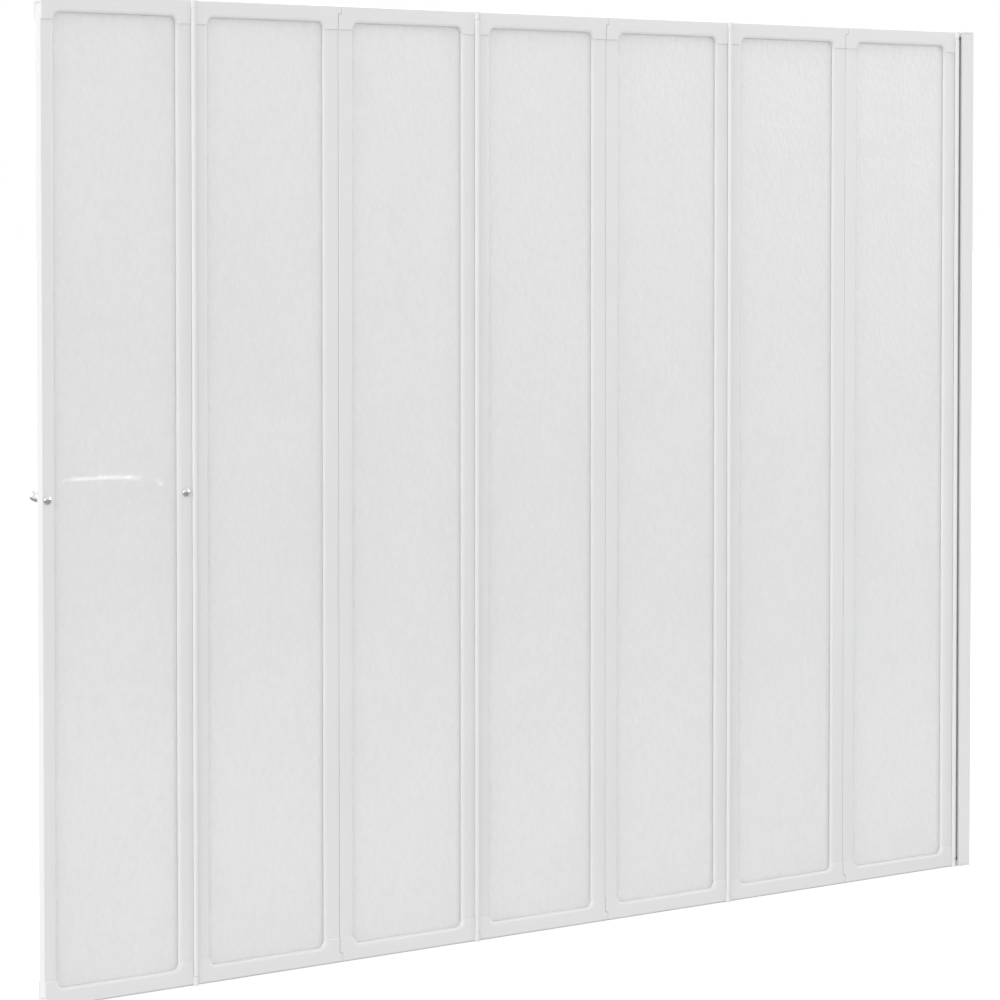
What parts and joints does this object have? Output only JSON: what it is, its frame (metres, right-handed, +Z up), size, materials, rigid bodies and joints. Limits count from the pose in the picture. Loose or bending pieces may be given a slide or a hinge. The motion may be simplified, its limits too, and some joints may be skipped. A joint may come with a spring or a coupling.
{
  "type": "folding bath screen",
  "caption": "Folding bath screen: framed frosted panels hinged in a concertina from a wall channel, with soft bottom seals and a towel rail behind the free end.",
  "frame": {"origin": "centre of the wall channel's back, on the wall plane, at half the screen's height", "axes": "+X points into the wall, and the opened screen reaches along -X. The front looks along -Y and the towel rail is on the +Y side. +Z is up"},
  "size_m": [1.68, 0.0569, 1.3],
  "materials": {
    "profile_white": "smooth satin white",
    "moulding_white": "moulded satin white",
    "pane_frosted": "frosted white, fine pebbled texture",
    "seal_grey": "soft grey",
    "rod_steel": "plain drawn",
    "chrome": "polished",
    "screw_steel": "bright"
  },
  "bodies": {
    "wall_side": {"wall_channel": "profile_white", "wall_hinge_profile": "profile_white", "wall_top_cap": "moulding_white", "wall_bottom_cap": "moulding_white", "clamp_screw_top": "screw_steel", "clamp_screw_middle": "screw_steel", "clamp_screw_bottom": "screw_steel"},
    "panel_1": {"panel_1_pane": "pane_frosted", "panel_1_wall_side_stile": "profile_white", "panel_1_free_side_stile": "profile_white", "panel_1_top_rail": "moulding_white", "panel_1_bottom_rail": "moulding_white", "panel_1_bottom_seal": "seal_grey", "hinge_1_rod": "rod_steel"},
    "panel_2": {"panel_2_pane": "pane_frosted", "panel_2_wall_side_stile": "profile_white", "panel_2_free_side_stile": "profile_white", "panel_2_top_rail": "moulding_white", "panel_2_bottom_rail": "moulding_white", "panel_2_bottom_seal": "seal_grey", "hinge_2_rod": "rod_steel"},
    "panel_3": {"panel_3_pane": "pane_frosted", "panel_3_wall_side_stile": "profile_white", "panel_3_free_side_stile": "profile_white", "panel_3_top_rail": "moulding_white", "panel_3_bottom_rail": "moulding_white", "panel_3_bottom_seal": "seal_grey", "hinge_3_rod": "rod_steel"},
    "panel_4": {"panel_4_pane": "pane_frosted", "panel_4_wall_side_stile": "profile_white", "panel_4_free_side_stile": "profile_white", "panel_4_top_rail": "moulding_white", "panel_4_bottom_rail": "moulding_white", "panel_4_bottom_seal": "seal_grey", "hinge_4_rod": "rod_steel"},
    "panel_5": {"panel_5_pane": "pane_frosted", "panel_5_wall_side_stile": "profile_white", "panel_5_free_side_stile": "profile_white", "panel_5_top_rail": "moulding_white", "panel_5_bottom_rail": "moulding_white", "panel_5_bottom_seal": "seal_grey", "hinge_5_rod": "rod_steel"},
    "panel_6": {"panel_6_pane": "pane_frosted", "panel_6_wall_side_stile": "profile_white", "panel_6_free_side_stile": "profile_white", "panel_6_top_rail": "moulding_white", "panel_6_bottom_rail": "moulding_white", "panel_6_bottom_seal": "seal_grey", "hinge_6_rod": "rod_steel"},
    "panel_7": {"panel_7_pane": "pane_frosted", "panel_7_wall_side_stile": "profile_white", "panel_7_free_side_stile": "profile_white", "panel_7_top_rail": "moulding_white", "panel_7_bottom_rail": "moulding_white", "panel_7_bottom_seal": "seal_grey", "hinge_7_rod": "rod_steel", "towel_rail": "chrome", "towel_rail_nut_free_side": "chrome", "towel_rail_nut_wall_side": "chrome"}
  },
  "joints": [
    {"name": "hinge_1", "type": "hinge", "parent": "wall_side", "child": "panel_1", "pos_m": [-0.034, -0.0088, 0], "axis": [0, 0, 1], "range_deg": [0, 90]},
    {"name": "hinge_2", "type": "hinge", "parent": "panel_1", "child": "panel_2", "pos_m": [-0.26979, 0.0088, 0], "axis": [0, 0, -1], "range_deg": [0, 180]},
    {"name": "hinge_3", "type": "hinge", "parent": "panel_2", "child": "panel_3", "pos_m": [-0.50557, -0.0088, 0], "axis": [0, 0, 1], "range_deg": [0, 180]},
    {"name": "hinge_4", "type": "hinge", "parent": "panel_3", "child": "panel_4", "pos_m": [-0.74136, 0.0088, 0], "axis": [0, 0, -1], "range_deg": [0, 180]},
    {"name": "hinge_5", "type": "hinge", "parent": "panel_4", "child": "panel_5", "pos_m": [-0.97714, -0.0088, 0], "axis": [0, 0, 1], "range_deg": [0, 180]},
    {"name": "hinge_6", "type": "hinge", "parent": "panel_5", "child": "panel_6", "pos_m": [-1.21293, 0.0088, 0], "axis": [0, 0, -1], "range_deg": [0, 180]},
    {"name": "hinge_7", "type": "hinge", "parent": "panel_6", "child": "panel_7", "pos_m": [-1.44871, -0.0088, 0], "axis": [0, 0, 1], "range_deg": [0, 180]}
  ],
  "couplings": [
    {"joint": "hinge_3", "follows": "hinge_2", "ratio": 1},
    {"joint": "hinge_4", "follows": "hinge_2", "ratio": 1},
    {"joint": "hinge_5", "follows": "hinge_2", "ratio": 1},
    {"joint": "hinge_6", "follows": "hinge_2", "ratio": 1},
    {"joint": "hinge_7", "follows": "hinge_2", "ratio": 1}
  ]
}
